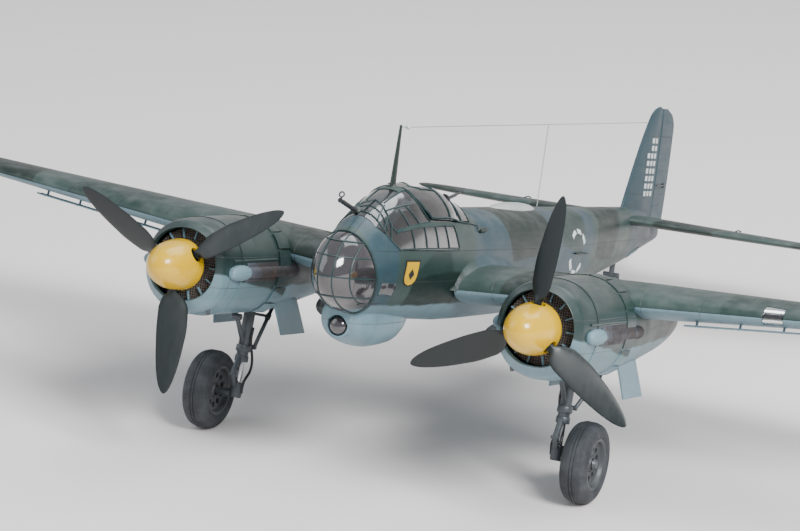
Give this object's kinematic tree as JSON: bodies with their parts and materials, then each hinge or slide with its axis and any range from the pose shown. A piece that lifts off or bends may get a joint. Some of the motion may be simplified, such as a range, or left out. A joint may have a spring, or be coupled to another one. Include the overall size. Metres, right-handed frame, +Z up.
{
  "type": "twin-engined propeller aircraft display model",
  "caption": "Plastic display model of a twin-engined propeller bomber with a glazed nose, standing tail-down on its wheels.",
  "frame": {"origin": "centre of the model's footprint on the surface it stands on, at the height of its tyres' flats", "axes": "+X towards the port wing tip, -Y towards the nose, +Z up; the fuselage leans back 12 degrees on its tail wheel"},
  "size_m": [0.4184, 0.301, 0.1045],
  "materials": {
    "blue_grey_paint": "satin blue-grey enamel over styrene, with recessed panel lines",
    "grey_green_paint": "satin grey-green enamel over styrene",
    "underside_blue": "satin light blue enamel over styrene",
    "cowl_blue_grey": "satin light blue-grey enamel",
    "dark_green_black": "satin near-black green enamel",
    "clear_plastic": "clear gloss styrene",
    "cockpit_grey": "matt dark grey",
    "gun_metal": "dark gun metal, dry-brushed",
    "aerial_thread": "stretched thread",
    "pale_cover": "pale moulded cover",
    "bomb_black": "satin near-black",
    "radiator_dark": "matt dark core",
    "exhaust_brown": "heat-stained brown-grey",
    "propeller_black_green": "satin black-green",
    "spinner_yellow": "satin yellow",
    "gear_grey": "semi-matt dark grey",
    "tyre_black": "matt black rubber"
  },
  "bodies": {
    "airframe": {"aerial_mast": "dark_green_black", "aerial_wire": "aerial_thread", "bomb_port": "bomb_black", "bomb_rack_port": "underside_blue", "bomb_rack_starboard": "underside_blue", "bomb_starboard": "bomb_black", "canopy_front": "clear_plastic", "canopy_rear": "clear_plastic", "cockpit_tub": "cockpit_grey", "cowl_port": "cowl_blue_grey", "cowl_starboard": "cowl_blue_grey", "direction_finder_cover": "pale_cover", "dive_brake_port": "underside_blue", "dive_brake_starboard": "underside_blue", "dorsal_gun_port": "gun_metal", "dorsal_gun_starboard": "gun_metal", "exhaust_port_inner": "exhaust_brown", "exhaust_port_outer": "exhaust_brown", "exhaust_starboard_inner": "exhaust_brown", "exhaust_starboard_outer": "exhaust_brown", "fuselage_port": "blue_grey_paint", "fuselage_starboard": "blue_grey_paint", "gear_brace_port": "gear_grey", "gear_brace_starboard": "gear_grey", "gear_door_port_inner": "underside_blue", "gear_door_port_outer": "underside_blue", "gear_door_starboard_inner": "underside_blue", "gear_door_starboard_outer": "underside_blue", "gear_leg_port": "gear_grey", "gear_leg_starboard": "gear_grey", "gondola_gun": "gun_metal", "gondola_lens": "clear_plastic", "gondola_shell": "underside_blue", "landing_light": "clear_plastic", "nacelle_port": "blue_grey_paint", "nacelle_starboard": "blue_grey_paint", "nose_glazing": "clear_plastic", "nose_gun": "gun_metal", "radiator_port": "radiator_dark", "radiator_starboard": "radiator_dark", "tail_fin": "blue_grey_paint", "tailplane_port": "grey_green_paint", "tailplane_starboard": "grey_green_paint", "wing_lower_port": "underside_blue", "wing_lower_starboard": "underside_blue", "wing_upper_port": "grey_green_paint", "wing_upper_starboard": "grey_green_paint"},
    "propeller_port_body": {"propeller_port": "propeller_black_green", "spinner_port": "spinner_yellow"},
    "propeller_starboard_body": {"propeller_starboard": "propeller_black_green", "spinner_starboard": "spinner_yellow"},
    "wheel_port_body": {"main_wheel_port": "tyre_black"},
    "wheel_starboard_body": {"main_wheel_starboard": "tyre_black"},
    "tail_fork_body": {"tail_fork": "gear_grey"},
    "tail_wheel_body": {"tail_wheel": "tyre_black"},
    "aileron_port_body": {"aileron_port": "grey_green_paint"},
    "aileron_starboard_body": {"aileron_starboard": "grey_green_paint"},
    "elevator_port_body": {"elevator_port": "grey_green_paint"},
    "elevator_starboard_body": {"elevator_starboard": "grey_green_paint"},
    "rudder_body": {"rudder": "blue_grey_paint"}
  },
  "joints": [
    {"name": "propeller_port_spin", "type": "hinge", "parent": "airframe", "child": "propeller_port_body", "pos_m": [0.05521, -0.13244, 0.06063], "axis": [0, 0.9781, -0.2079], "continuous": true},
    {"name": "propeller_starboard_spin", "type": "hinge", "parent": "airframe", "child": "propeller_starboard_body", "pos_m": [-0.05521, -0.13244, 0.06063], "axis": [0, 0.9781, -0.2079], "continuous": true},
    {"name": "main_wheel_port_roll", "type": "hinge", "parent": "airframe", "child": "wheel_port_body", "pos_m": [0.06083, -0.09592, 0.01198], "axis": [1, 0, 0], "continuous": true},
    {"name": "main_wheel_starboard_roll", "type": "hinge", "parent": "airframe", "child": "wheel_starboard_body", "pos_m": [-0.06083, -0.09592, 0.01198], "axis": [1, 0, 0], "continuous": true},
    {"name": "tail_fork_swivel", "type": "hinge", "parent": "airframe", "child": "tail_fork_body", "pos_m": [0, 0.09332, 0.01347], "axis": [0, 0.2079, 0.9781], "continuous": true},
    {"name": "tail_wheel_roll", "type": "hinge", "parent": "tail_fork_body", "child": "tail_wheel_body", "pos_m": [0, 0.09445, 0.0058], "axis": [1, 0, 0], "continuous": true},
    {"name": "aileron_port_hinge", "type": "hinge", "parent": "airframe", "child": "aileron_port_body", "pos_m": [0.12292, -0.0365, 0.05091], "axis": [0.9929, -0.0733, 0.0933], "range_deg": [-20, 20]},
    {"name": "aileron_starboard_hinge", "type": "hinge", "parent": "airframe", "child": "aileron_starboard_body", "pos_m": [-0.12292, -0.0365, 0.05091], "axis": [0.9929, 0.0733, -0.0933], "range_deg": [-20, 20]},
    {"name": "elevator_port_hinge", "type": "hinge", "parent": "airframe", "child": "elevator_port_body", "pos_m": [0.00625, 0.11557, 0.029], "axis": [1, 0, 0], "range_deg": [-25, 25]},
    {"name": "elevator_starboard_hinge", "type": "hinge", "parent": "airframe", "child": "elevator_starboard_body", "pos_m": [-0.00625, 0.11557, 0.029], "axis": [1, 0, 0], "range_deg": [-25, 25]},
    {"name": "rudder_hinge", "type": "hinge", "parent": "airframe", "child": "rudder_body", "pos_m": [0, 0.13161, 0.04434], "axis": [0, 0.2079, 0.9781], "range_deg": [-25, 25]}
  ],
  "couplings": [
    {"joint": "aileron_starboard_hinge", "follows": "aileron_port_hinge", "ratio": -1},
    {"joint": "elevator_starboard_hinge", "follows": "elevator_port_hinge", "ratio": 1}
  ]
}
